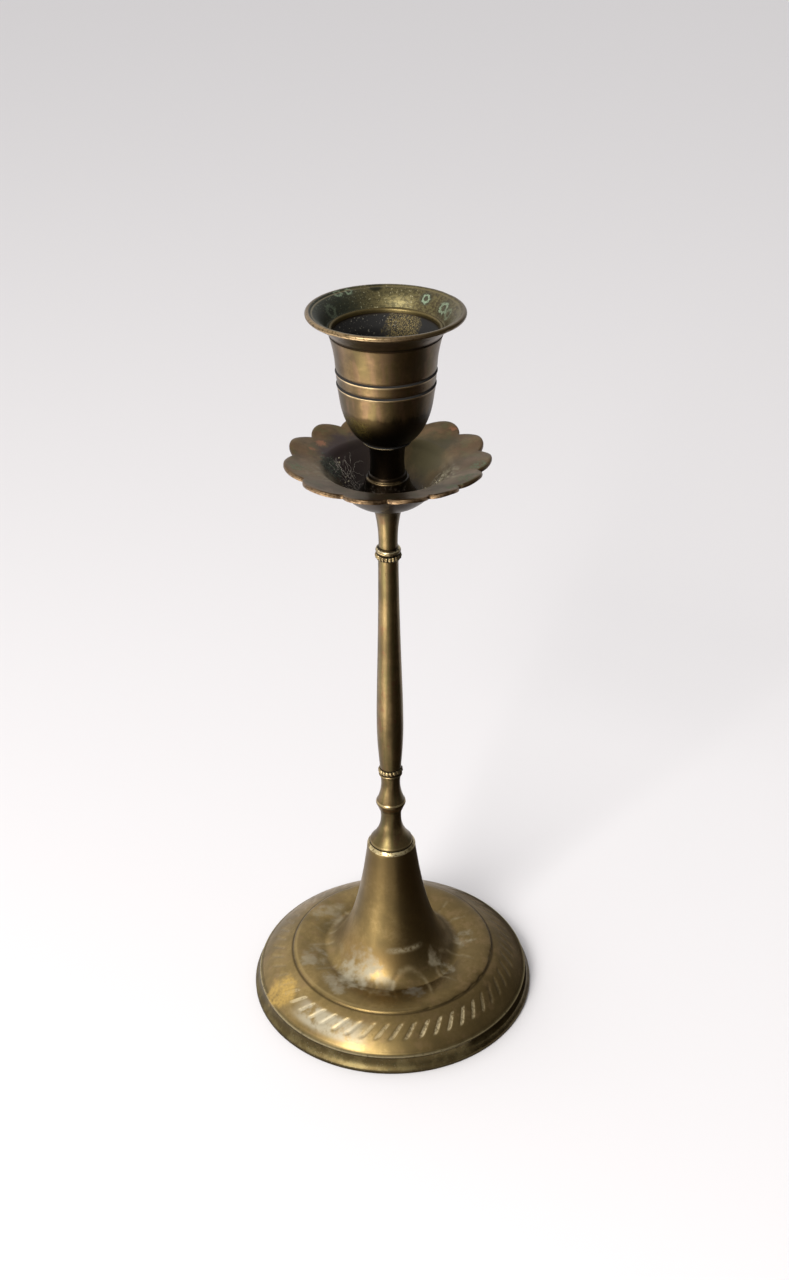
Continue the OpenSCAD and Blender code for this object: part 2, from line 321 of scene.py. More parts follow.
class Finish(Shader):
    """A finish built up in layers, each laid over the last where its mask is 1."""

    def __init__(self, name, color, roughness, metal=1.0):
        self.material = bpy.data.materials.new(name)
        self.material.use_nodes = True
        super().__init__(self.material.node_tree)
        self.color = color
        self.roughness = roughness
        self.metal = metal
        self.height = 0.0
        place = self.node("TexCoord", None, None, "Object")
        scale = {"operation": "SCALE"}
        self.place = self.node("VectorMath", scale, {0: place, "Scale": 1 / MM})
        parts = self.node("SeparateXYZ", None, {0: self.place})
        self.x, self.y, self.z = (Value(self, parts.socket.node.outputs[i]) for i in range(3))
        self.r = (self.x * self.x + self.y * self.y) ** 0.5
        self.angle = self.node("Math", {"operation": "ARCTAN2"}, {0: self.y, 1: self.x})

    def marked(self, name):
        """A number stored on the points of the piece."""
        return self.node("Attribute", {"attribute_name": name}, None, "Fac")

    def clouds(self, scale, detail=4, rough=0.6, stretch=(1, 1, 1), shift=0.0):
        """Soft noise from 0 to 1, with scale in blotches per millimetre."""
        inputs = {"Location": (shift, shift, shift), "Scale": stretch, "Vector": self.place}
        place = self.node("Mapping", None, inputs)
        inputs = {"Vector": place, "Scale": scale, "Detail": detail, "Roughness": rough}
        return self.node("TexNoise", None, inputs)

    def turning_lines(self, per_mm, detail=3):
        """Noise that changes only along the outline, like a lathe tool's marks."""
        down_the_outline = self.z + self.r * 1.3
        along = self.vector(0, 0, down_the_outline)
        inputs = {"Vector": along, "Scale": per_mm, "Detail": detail, "Roughness": 0.7}
        return self.node("TexNoise", None, inputs)

    def streaks(self, per_radian, shift=0.0):
        """Noise that changes round the axis, and fifty times slower along it."""
        turned = self.angle + math.pi / 2 + shift
        around = self.vector(turned.sine(), turned.cosine(), self.z * 0.02)
        inputs = {"Vector": around, "Scale": per_radian, "Detail": 3, "Roughness": 0.5}
        return self.node("TexNoise", None, inputs)

    def spot(self, place, size, ragged=0.5, scale=0.8, shift=0.0):
        """A ragged patch round a place in millimetres: 1 at its middle, 0 past its size."""
        inputs = {0: self.place, 1: place}
        away = self.node("VectorMath", {"operation": "DISTANCE"}, inputs, "Value")
        away = away / size + (self.clouds(scale, shift=shift) - 0.5) * ragged * 2
        return away.fall(0.55, 1.0)

    def sector(self, centre, width, soft=8):
        """1 within a range of angles round the axis, in degrees, with soft ends."""
        facing = (self.angle - math.radians(centre)).cosine()
        outer, inner = math.radians(width + soft), math.radians(max(width - soft, 0))
        return facing.rise(math.cos(outer), math.cos(inner))

    def lay(self, mask, color=None, roughness=None, metal=None, raised=0.0):
        """Lays a layer over what is there: its colour, roughness, metal and thickness."""
        if color is not None:
            self.color = self.mix(mask, self.color, color)
        if roughness is not None:
            self.roughness = mask * (roughness - self.roughness) + self.roughness
        if metal is not None:
            self.metal = mask * (metal - self.metal) + self.metal
        if raised:
            self.height = mask * raised + self.height

    def done(self, bump=0.6):
        """Joins the layers to the surface; heights are in millimetres."""
        inputs = {"Height": self.height, "Distance": MM, "Strength": bump}
        normal = self.node("Bump", None, inputs)
        inputs = {"Base Color": rgb(self.color), "Roughness": self.roughness,
                  "Metallic": self.metal, "Normal": normal}
        surface = self.node("BsdfPrincipled", None, inputs)
        self.node("OutputMaterial", None, {"Surface": surface})
        return self.material


def old_brass(name, color, dull, bright, roughness=0.34, cloud=0.16):
    """Brass with a cloudy patina, lathe marks, fine scratches and small dark pits."""
    finish = Finish(name, color, roughness)
    broad = finish.clouds(cloud, 5)
    fine = finish.clouds(1.1, 6, 0.65)
    lines = finish.turning_lines(5)
    finish.lay(broad.rise(0.44, 0.68) * 0.7, dull, roughness + 0.06)
    finish.lay((broad + fine * 0.5).fall(0.58, 0.78) * 0.5, bright, roughness - 0.03)
    finish.lay(finish.streaks(2.2).rise(0.48, 0.70) * 0.45, dull)
    finish.lay(fine.rise(0.60, 0.74) * 0.45, dull, roughness + 0.12)
    pits = finish.clouds(4.5, 2, 0.5, shift=7.0).rise(0.71, 0.76)
    finish.lay(pits * 0.8, PIT, 0.6, raised=-0.03)
    finish.height = finish.height + lines * 0.010 + fine * 0.015
    return finish


# ---- Stage ----

def matte(name, color):
    """A plain matte surface."""
    material = bpy.data.materials.new(name)
    material.use_nodes = True
    shader = Shader(material.node_tree)
    surface = shader.node("BsdfDiffuse", None, {"Color": rgb(color)})
    shader.node("OutputMaterial", None, {"Surface": surface})
    return material


def add_stage():
    """A plain pale floor, a soft window from the left, cards for the metal and a quiet studio."""
    bpy.ops.object.select_all(action="DESELECT")
    bpy.ops.mesh.primitive_plane_add(size=5)
    floor = bpy.context.active_object
    floor.name = "floor"
    floor.data.materials.append(matte("pale_floor", (226, 224, 226)))
    # A dark card on the floor, which shows only in the metal, on its right side
    bpy.ops.object.select_all(action="DESELECT")
    bpy.ops.mesh.primitive_plane_add(size=1)
    card = bpy.context.active_object
    card.name = "dark_card"
    width, depth = 0.50, 0.54
    laid = Matrix.Translation((0.27, -0.21, 0.002))
    card.data.transform(laid @ Matrix.Diagonal((width, depth, 1, 1)))
    card.data.materials.append(matte("dark_card", (58, 49, 40)))
    card.visible_camera = card.visible_diffuse = card.visible_shadow = False

    def lamp(name, place, aim, size, energy, lights_floor=True):
        """A soft rectangular light at a place, turned to its aim, with its size in metres."""
        light = bpy.data.lights.new(name, "AREA")
        light.shape = "RECTANGLE"
        light.size, light.size_y = size
        light.energy = energy
        light.color = (1.0, 0.98, 0.95)
        holder = bpy.data.objects.new(name, light)
        bpy.context.scene.collection.objects.link(holder)
        holder.location = place
        towards = Vector(aim) - holder.location
        holder.rotation_euler = towards.to_track_quat("-Z", "Y").to_euler()
        holder.visible_camera = False
        holder.visible_diffuse = lights_floor

    lamp("window", (-0.42, -0.72, 0.62), (0, 0, 0.05), (0.40, 0.50), 10)
    # Two glowing cards that lie on the floor facing up, and light only the metal
    for name, x, y, size, energy in (("front_card", -0.18, -0.165, (0.20, 0.17), 0.85),
                                     ("left_card", -0.27, 0.02, (0.30, 0.16), 0.26)):
        lamp(name, (x, y, 0.004), (x, y, 1), size, energy, lights_floor=False)

    world = bpy.data.worlds.new("studio")
    world.use_nodes = True
    bpy.context.scene.world = world
    sky = Shader(world.node_tree)
    facing = sky.node("TexCoord", None, None, "Generated")

    def glow(direction, low, high):
        """Light from one side: 1 where the cosine to a direction is high, 0 where it is low."""
        inputs = {0: facing, 1: Vector(direction).normalized()}
        towards = sky.node("VectorMath", {"operation": "DOT_PRODUCT"}, inputs, "Value")
        return towards.rise(low, high)

    left, back, overhead = (-1, -0.2, 0.3), (-0.35, 1, 0.2), (0, 0, 1)
    light = glow(left, 0.0, 1.0) * 0.9 + glow(back, 0.2, 1.0) * 0.75
    light = light + glow(overhead, 0.0, 1.0) * 0.4 + 0.08
    wall_brightness = 0.8
    seen = sky.node("LightPath", None, None, "Is Camera Ray")
    strength = seen * (wall_brightness - light) + light
    ground = sky.node("Background", None, {"Color": (1, 0.99, 0.98, 1), "Strength": strength})
    sky.node("OutputWorld", None, {"Surface": ground})
    bpy.context.scene.view_settings.view_transform = "Standard"


add_stage()


# ---- Pieces ----

def place(piece, body, material, *nodes, slot=None):
    """Gives a piece its finish, its body and the nodes it stands for; the slot argument is not
    used.
    """
    piece.data.materials.clear()
    piece.data.materials.append(material)
    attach(piece, body)
    if nodes:
        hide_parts(*nodes)
    return piece


def candle_cup():
    """Bell-shaped cup with a flared lip, a raised throat ring and two turned grooves."""
    bore_r, wall = 9.3, 1.0
    bore_top = rim_z - 7.2
    bore_low = bore_top - 10
    floor_z = cup_z + 2.6
    body_top_r, body_top_z = throat_r + 0.7, rim_z - 4.9
    straight_r, straight_z = throat_r - 0.35, rim_z - 10
    shoulder_r, shoulder_z = bore_r + wall - 0.1, bore_low + 1
    bead_r, bead_h = 5.2, 0.6
    rim_edge = 1.1

    def body_r(z):
        share = (z - shoulder_z) / (straight_z - shoulder_z)
        return shoulder_r + (straight_r - shoulder_r) * share

    def groove(z):
        """A groove with a soft shoulder above and a crisp lip below."""
        return [(body_r(z - 0.55), z - 0.55), (body_r(z - 0.4) + 0.06, z - 0.4),
                (body_r(z - 0.25) + 0.14, z - 0.22), (body_r(z - 0.1) + 0.14, z - 0.1),
                (body_r(z) + 0.07, z), (body_r(z) - 0.06, z + 0.08),
                (body_r(z) - 0.14, z + 0.18), (body_r(z) - 0.13, z + 0.3),
                (body_r(z) - 0.06, z + 0.45), (body_r(z), z + 0.6),
                (body_r(z + 1), z + 1)]

    outline = [(0, cup_z), (2.5, cup_z)]
    outline += bead(bead_r, cup_z, bead_h)
    outline += curve((bead_r - 0.2, cup_z + bead_h + 0.05), (bead_r + 2, cup_z + 1.6),
                     (shoulder_r - 1.05, shoulder_z - 7.3),
                     (shoulder_r - 0.45, shoulder_z - 3.2), 30)
    outline += line((shoulder_r - 0.3, shoulder_z - 2.1), (shoulder_r, shoulder_z), 3)
    for groove_z in cup_grooves:
        outline += groove(groove_z)
    outline += curve((straight_r, straight_z), (straight_r + 0.2, straight_z + 1.6),
                     (body_top_r - 0.5, body_top_z - 1.6), (body_top_r, body_top_z), 14)
    outline += [(body_top_r - 0.12, body_top_z + 0.1), (body_top_r - 0.12, body_top_z + 0.25)]
    outline += curve((body_top_r, body_top_z + 0.4), (body_top_r + 0.9, body_top_z + 1.6),
                     (rim_r - 2.1, rim_z - rim_edge - 0.9),
                     (rim_r - 0.7, rim_z - rim_edge - 0.2), 14)
    outline += bead(rim_r, rim_z - rim_edge, rim_edge, 12)
    outline += [(rim_r - 0.9, rim_z - 0.04), (rim_r - 1.1, rim_z - 0.16),
                (rim_r - 1.25, rim_z - 0.34), (rim_r - 1.4, rim_z - 0.36)]
    outline += curve((rim_r - 1.6, rim_z - 0.42), (rim_r - 3.2, rim_z - 1.3),
                     (throat_r + 1.6, rim_z - 2.7), (throat_r + 0.95, rim_z - 3.75), 16)
    outline += [(throat_r + 0.78, rim_z - 3.82), (throat_r + 0.62, rim_z - 3.68),
                (throat_r + 0.42, rim_z - 3.6), (throat_r + 0.2, rim_z - 3.64),
                (throat_r + 0.04, rim_z - 3.8), (throat_r - 0.05, rim_z - 4.05),
                (throat_r - 0.1, rim_z - 4.35)]
    outline += line((throat_r - 0.25, rim_z - 4.9), (bore_r, bore_top), 5)
    outline += line((bore_r, bore_top - 1), (bore_r, bore_low), 10)
    outline += curve((bore_r - 0.05, bore_low - 0.5), (bore_r - 0.6, bore_low - 4.5),
                     (bead_r + 1.6, floor_z + 0.1), (bead_r - 0.8, floor_z), 14)
    outline += line((3.6, floor_z), (0, floor_z), 4)
    cup = turn("cup", outline, 192)

    def knocked(r, angle, z):
        """The lip is a little out of round, with a few shallow knocks in its edge."""
        flare = ease(z, rim_z - 7, rim_z - 1)
        r += flare * 0.12 * math.cos(2 * angle + 0.8)
        for centre, width, depth in ((-128, 7, 0.16), (-40, 5, 0.12), (35, 8, 0.14)):
            away = abs(between_angles(angle, centre)) / width
            r -= depth * ease(1 - away, 0, 1) * ease(r, rim_r - 1.5, rim_r)
        return r, angle, z

    work(cup, knocked)
    mark_inside(cup)
    return cup


def cup_foot():
    """A spool on a stepped, spreading flange."""
    waist_r, flange_r, edge, flange_h = 3.65, 6.4, 1.2, 6.1
    outline = [(hole_r, foot_z), (flange_r - 0.15, foot_z), (flange_r, foot_z + 0.15),
               (flange_r, foot_z + edge - 0.15), (flange_r - 0.12, foot_z + edge)]
    outline += curve((flange_r - 0.3, foot_z + edge + 0.3), (flange_r - 1.1, foot_z + edge + 1),
                     (waist_r + 1.2, foot_z + 3.6), (waist_r + 1, foot_z + flange_h - 1.2), 16)
    outline += [(waist_r + 0.92, foot_z + flange_h - 1.08),
                (waist_r + 0.6, foot_z + flange_h - 1), (waist_r + 0.55, foot_z + flange_h - 0.9),
                (waist_r + 0.5, foot_z + flange_h - 0.3), (waist_r + 0.4, foot_z + flange_h - 0.14)]
    outline += curve((waist_r + 0.15, foot_z + flange_h), (waist_r - 0.15, foot_z + flange_h + 2),
                     (waist_r - 0.1, cup_z - 2), (waist_r + 0.5, cup_z - 0.1), 20)
    outline += [(waist_r + 0.4, cup_z), (hole_r, cup_z)]
    return turn("spool", outline, 128, closed=True)


def stem_neck():
    """The trumpet that carries the pan."""
    seat_r, waist_r = 3.4, 2.1
    outline = [(0, neck_z), (waist_r, neck_z), (waist_r + 0.05, neck_z + 0.1)]
    outline += curve((waist_r, neck_z + 1), (waist_r, neck_z + 4.4),
                     (waist_r + 0.35, pan_z - 4.2), (seat_r - 0.5, pan_z - 2.2), 24)
    outline += [(seat_r - 0.28, pan_z - 1.7), (seat_r - 0.1, pan_z - 1.2),
                (seat_r - 0.02, pan_z - 0.95), (seat_r, pan_z - 0.7),
                (seat_r, pan_z - 0.1), (seat_r - 0.1, pan_z), (0, pan_z)]
    return turn("neck", outline, 96)


def main_stem():
    """The long stem, with its belly low down."""
    belly_r, top_r, foot_r = 3.1, 2.25, 2.5
    belly_z = stem_z + 12
    rise = upper_ring_z - belly_z
    outline = [(0, stem_z), (foot_r - 0.1, stem_z), (foot_r, stem_z + 0.1)]
    outline += curve((foot_r + 0.03, stem_z + 0.5), (foot_r + 0.2, stem_z + 3),
                     (belly_r, belly_z - 5), (belly_r, belly_z), 20)
    outline += curve((belly_r, belly_z + 1), (belly_r, belly_z + 0.22 * rise),
                     (top_r + 0.1, belly_z + 0.55 * rise), (top_r, upper_ring_z - 0.5), 44)
    outline += [(top_r, upper_ring_z - 0.1), (top_r - 0.1, upper_ring_z), (0, upper_ring_z)]
    return turn("long_stem", outline, 96)


def upper_ring():
    """A polished round bead over a row of small milled beads."""
    ring_r, height, inner_r = 2.85, 2.7, 2.0
    beads, askew = 22, 0.035
    half = height / 2
    outline = [(hole_r, upper_ring_z)]
    outline += bead(ring_r, upper_ring_z, half, 14)
    outline += bead(ring_r - 0.05, upper_ring_z + half, half, 14)
    outline += [(hole_r, upper_ring_z + height)]
    ring = turn("upper_bead", outline, 240, closed=True)

    def milled(r, angle, z):
        """Small beads round the lower half and a few nicks in the upper one."""
        if r < inner_r:
            return r, angle, z
        low = ease(half - (z - upper_ring_z), -0.1, 0.15)
        r += low * 0.13 * math.cos(beads * angle)
        around = Vector((3 * math.cos(angle), 3 * math.sin(angle), z))
        r += (1 - low) * 0.05 * noise.noise(around)
        return r, angle, z + askew * r * math.sin(angle - 0.6)

    work(ring, milled)
    return ring


def lower_ring():
    """A roped ring: slanting turns like a twisted cord."""
    ring_r, height, inner_r = 2.9, 2.2, 2.2
    neck_r, rope_low = 2.3, 0.66
    turns, askew = 18, 0.03
    outline = [(hole_r, lower_ring_z), (neck_r, lower_ring_z)]
    outline += bead(ring_r - 0.12, lower_ring_z + 0.02, 0.62, 8)
    outline += bead(ring_r, lower_ring_z + rope_low, 1.5, 18)
    outline += [(neck_r, lower_ring_z + height), (hole_r, lower_ring_z + height)]
    ring = turn("lower_rope", outline, 288, closed=True)

    def roped(r, angle, z):
        """Slanting turns on the thick bead, with sharper hollows than crests."""
        if r < inner_r:
            return r, angle, z
        up = z - lower_ring_z - rope_low
        thick = ease(up, 0, 0.3)
        wave = math.cos(turns * angle + 2.6 * up)
        r += thick * (0.10 * wave - 0.06 * wave * wave)
        return r, angle, z + askew * r * math.sin(angle + 2.4)

    work(ring, roped)
    return ring


def knop():
    """A knop with a sharp turn low down and a long waist above."""
    waist_r, crest_r, height = 2.25, 3.55, 9.8
    top = knop_z + height
    outline = [(hole_r, knop_z), (waist_r + 0.5, knop_z), (waist_r + 0.62, knop_z + 0.1),
               (waist_r + 0.66, knop_z + 0.25)]
    outline += line((waist_r + 0.75, knop_z + 0.5), (crest_r - 0.15, knop_z + 1.5), 4)
    outline += curve((crest_r - 0.05, knop_z + 1.7), (crest_r + 0.05, knop_z + 2),
                     (crest_r, knop_z + 2.3), (crest_r - 0.15, knop_z + 2.5), 8)
    outline += curve((crest_r - 0.32, knop_z + 2.72), (crest_r - 0.75, knop_z + 3.9),
                     (waist_r, top - 4.2), (waist_r, top - 2.2), 22)
    outline += [(waist_r + 0.03, top - 1.2), (waist_r + 0.14, top - 0.3), (waist_r + 0.1, top),
                (hole_r, top)]
    return turn("knop_turning", outline, 96, closed=True)


def stem_foot():
    """The bell at the bottom of the stem, seated in the base's rim."""
    foot_r, waist_r = 5.2, 2.25
    outline = [(hole_r, stem_foot_z), (foot_r - 0.2, stem_foot_z), (foot_r, stem_foot_z + 0.2)]
    outline += curve((foot_r - 0.1, stem_foot_z + 0.5), (foot_r - 1.1, stem_foot_z + 1.7),
                     (waist_r + 0.55, stem_foot_z + 3.5), (waist_r + 0.25, stem_foot_z + 6), 26)
    outline += [(waist_r + 0.2, knop_z - 3), (waist_r + 0.17, knop_z - 2.6),
                (waist_r + 0.17, knop_z - 1.8), (waist_r + 0.24, knop_z - 0.9),
                (waist_r + 0.38, knop_z - 0.1), (waist_r + 0.3, knop_z), (hole_r, knop_z)]
    return turn("stem_bell", outline, 96, closed=True)


THREAD_PITCH = 0.5


def tie_rod():
    """The rod that pulls the stem down on the base, threaded below the base's neck."""
    low, high = level("tie_rod"), level("tie_rod", True)
    thread_top, thread_depth, chamfer = base_top - 1.5, 0.2, 0.3
    rows = round((thread_top - low - chamfer) / THREAD_PITCH * 8)
    outline = [(0, low), (stud_r - chamfer, low)]
    outline += line((stud_r, low + chamfer), (stud_r, thread_top), rows)
    outline += line((stud_r, thread_top + 1), (stud_r, high - chamfer), 6)
    outline += [(stud_r - chamfer, high), (0, high)]
    rod = turn("threaded_rod", outline, 48)

    def threaded(r, angle, z):
        """A vee thread that climbs one pitch in each turn."""
        if r < stud_r - 0.05 or z > thread_top + 0.1:
            return r, angle, z
        share = (z / THREAD_PITCH - angle / math.tau) % 1
        return r - thread_depth * abs(2 * share - 1), angle, z

    work(rod, threaded)
    return rod


def base_washer():
    """A punched washer with one rounded and one sharp side."""
    low, high = level("base_washer"), level("base_washer", True)
    edge = radius("base_washer")
    outline = [(hole_r, low + 0.1), (hole_r + 0.12, low), (edge - 0.1, low), (edge, low + 0.06)]
    outline += curve((edge, high - 0.3), (edge, high - 0.1), (edge - 0.12, high),
                     (edge - 0.3, high), 6)
    outline += [(hole_r + 0.2, high), (hole_r, high - 0.15)]
    return turn("washer", outline, 96, closed=True)


def base_nut():
    """A hex nut, chamfered at both ends."""
    low, high = level("base_nut"), level("base_nut", True)
    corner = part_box("base_nut")[1].x / MM
    flat = corner * math.cos(math.radians(30))
    chamfer = 0.45
    outline = [(hole_r, low + 0.2), (hole_r + 0.25, low), (flat - 0.1, low)]
    outline += line((flat, low + 0.03), (corner, low + chamfer), 8)
    outline += line((corner, low + chamfer + 0.1), (corner, high - chamfer - 0.1), 4)
    outline += line((corner, high - chamfer), (flat, high - 0.03), 8)
    outline += [(flat - 0.1, high), (hole_r + 0.25, high), (hole_r, high - 0.2)]
    nut = turn("hex_nut", outline, 96, closed=True, smooth_under=20)

    def hexed(r, angle, z):
        """Cuts six flats with their corners on the X axis."""
        across = (math.degrees(angle) % 60) - 30
        return min(r, flat / math.cos(math.radians(across))), angle, z

    work(nut, hexed)
    return nut


# Angle that each petal takes up, anticlockwise from the notch at the front
PETALS = (25, 22, 25, 28, 28, 26, 28, 29, 24, 28, 36, 34, 27)
FIRST_NOTCH = -90
COLUMNS = 24


def drip_pan():
    """A spun dish whose margin is drawn out into thirteen uneven petals."""
    notch_r, fold_r, floor_r = pan_tip_r - 2.2, pan_fold_r, 7.5
    bowl_h, petal_rise, thick, hole = 7.8, 2.0, 1.0, 1.75
    fold_z = pan_z + bowl_h
    slope = petal_rise / (pan_tip_r - fold_r)
    tip_z = fold_z + petal_rise
    outline = line((hole, pan_z), (floor_r - 2.9, pan_z), 3)
    outline += curve((floor_r - 2.5, pan_z), (floor_r + 1, pan_z),
                     (fold_r - 3.4, fold_z - 2.9), (fold_r, fold_z), 26)
    outline += line((fold_r + 0.6, fold_z + 0.6 * slope), (pan_tip_r - 0.3, tip_z), 12)
    outline += [(pan_tip_r - 0.08, tip_z + 0.1), (pan_tip_r, tip_z + 0.32),
                (pan_tip_r, tip_z + thick - 0.34), (pan_tip_r - 0.1, tip_z + thick - 0.1)]
    outline += line((pan_tip_r - 0.36, tip_z + thick - 0.02), (fold_r + 0.8, fold_z + thick
                    + 0.8 * slope), 12)
    outline += curve((fold_r + 0.4, fold_z + thick + 0.4 * slope), (fold_r - 0.2, fold_z + thick),
                     (fold_r - 0.9, fold_z + thick - 0.6),
                     (fold_r - 1.4, fold_z - 1.3 + thick), 8)
    outline += curve((fold_r - 1.7, fold_z - 1.6 + thick), (fold_r - 3.9, fold_z - 3.6 + thick),
                     (floor_r + 0.6, pan_z + thick), (floor_r - 0.7, pan_z + thick), 26)
    outline += line((floor_r - 1.2, pan_z + thick), (hole, pan_z + thick), 4)
    pan = turn("scalloped_pan", outline, COLUMNS * len(PETALS), closed=True)
    random.seed(11)
    uneven, crown, droop = 0.28, 0.34, 0.16
    lifts = [random.uniform(-uneven, uneven) for _ in PETALS]
    edges = []

    def petal(r, angle, z):
        """Slides the points to their petal, then draws the margin in to its outline."""
        steps = (math.degrees(angle) % 360) / 360 * COLUMNS * len(PETALS)
        number, share = divmod(round(steps) / COLUMNS, 1)
        number = int(number) % len(PETALS)
        width = PETALS[number]
        turned = math.radians(FIRST_NOTCH + sum(PETALS[:number]) + width * share)
        half = math.radians(width / 2)
        off = math.radians(width * (share - 0.5))
        centre = (pan_tip_r ** 2 - notch_r ** 2) / (2 * (pan_tip_r - notch_r * math.cos(half)))
        reach = centre * math.cos(off) + math.sqrt(
            (pan_tip_r - centre) ** 2 - (centre * math.sin(off)) ** 2)
        edges.append(ease(r, pan_tip_r - 0.5, pan_tip_r - 0.05))
        if r > fold_r:
            drawn = fold_r + (r - fold_r) * (reach - fold_r) / (pan_tip_r - fold_r)
            out = (drawn - fold_r) / (pan_tip_r - fold_r)
            swell = math.sin(math.pi * share)
            z += slope * (drawn - r) + lifts[number] * out * out * swell
            z += crown * out * swell ** 2 - droop * out
            r = drawn
        return r, turned, z

    work(pan, petal)
    store(pan, "edge", edges)
    mark_inside(pan)
    return pan


def resting(pan, x, y, near, far):
    """Where something dropped in the pan lies, kept from near to far from the axis, in mm."""
    away = min(max(math.hypot(x, y), near), far) / math.hypot(x, y)
    above = Vector((x * away, y * away, pan_z + 30)) * MM
    _, point, _, _ = pan.ray_cast(above, Vector((0, 0, -1)))
    return point / MM


def wax_crumbs(pan):
    """Crumbs of old wax beside the foot and in front of it."""
    random.seed(5)
    crumbs = []
    heaps = (((8.8, -1.5), 1.5, 9), ((8.0, -6.5), 2.0, 8), ((-9.5, 4.0), 1.8, 7))
    for centre, spread, count in heaps:
        for _ in range(count):
            x, y = (random.gauss(c, spread) for c in centre)
            size = random.uniform(0.10, 0.24)
            spot = resting(pan, x, y, 7.0, 12.5) + Vector((0, 0, size * 0.2))
            bpy.ops.object.select_all(action="DESELECT")
            bpy.ops.mesh.primitive_ico_sphere_add(subdivisions=2, radius=MM)
            crumb = bpy.context.active_object
            for vertex in crumb.data.vertices:
                lump = 1 + 0.5 * noise.noise(vertex.co / MM * 1.3 + spot)
                vertex.co = vertex.co * size * lump + spot * MM
            crumbs.append(crumb)
    for crumb in crumbs:
        crumb.select_set(True)
    bpy.ops.object.join()
    piece = bpy.context.active_object
    piece.name = "wax_crumbs"
    lone(piece)
    bpy.ops.object.shade_smooth_by_angle(angle=math.radians(50))
    return piece


def dust_fluff(pan):
    """Fine fibres of dust caught in the pan beside the foot."""
    random.seed(8)
    line_work = bpy.data.curves.new("dust_fluff", "CURVE")
    line_work.dimensions = "3D"
    line_work.bevel_depth = 0.02 * MM
    line_work.bevel_resolution = 1
    line_work.use_fill_caps = True
    nests = (((-8.6, 4.0), 1.4, 34), ((-7.0, -4.5), 1.5, 12), ((8.8, -1.0), 1.0, 12))
    for centre, spread, count in nests:
        for _ in range(count):
            x, y = (random.gauss(c, spread) for c in centre)
            heading = random.uniform(0, math.tau)
            lift = random.uniform(0.05, 0.5)
            points = []
            steps = random.randint(5, 9)
            for i in range(steps + 1):
                raised = 0.05 + lift * math.sin(math.pi * i / steps)
                points.append(resting(pan, x, y, 6.9, 12.8) + Vector((0, 0, raised)))
                heading += random.gauss(0, 0.45)
                x += 0.42 * math.cos(heading)
                y += 0.42 * math.sin(heading)
            fibre = line_work.splines.new("POLY")
            fibre.points.add(len(points) - 1)
            for point, spot in zip(fibre.points, points):
                point.co = (*(spot * MM), 1)
    piece = bpy.data.objects.new("dust_fluff", line_work)
    bpy.context.scene.collection.objects.link(piece)
    lone(piece)
    bpy.ops.object.convert(target="MESH")
    return bpy.context.active_object


STROKES = 53
STROKE_COLUMNS = 9
STROKE_SLANT = math.tan(math.radians(41))
STROKE_IN, STROKE_OUT = 27.1, 30.9
STROKE_MIDDLE = (STROKE_IN + STROKE_OUT) / 2
ARCHES = 8


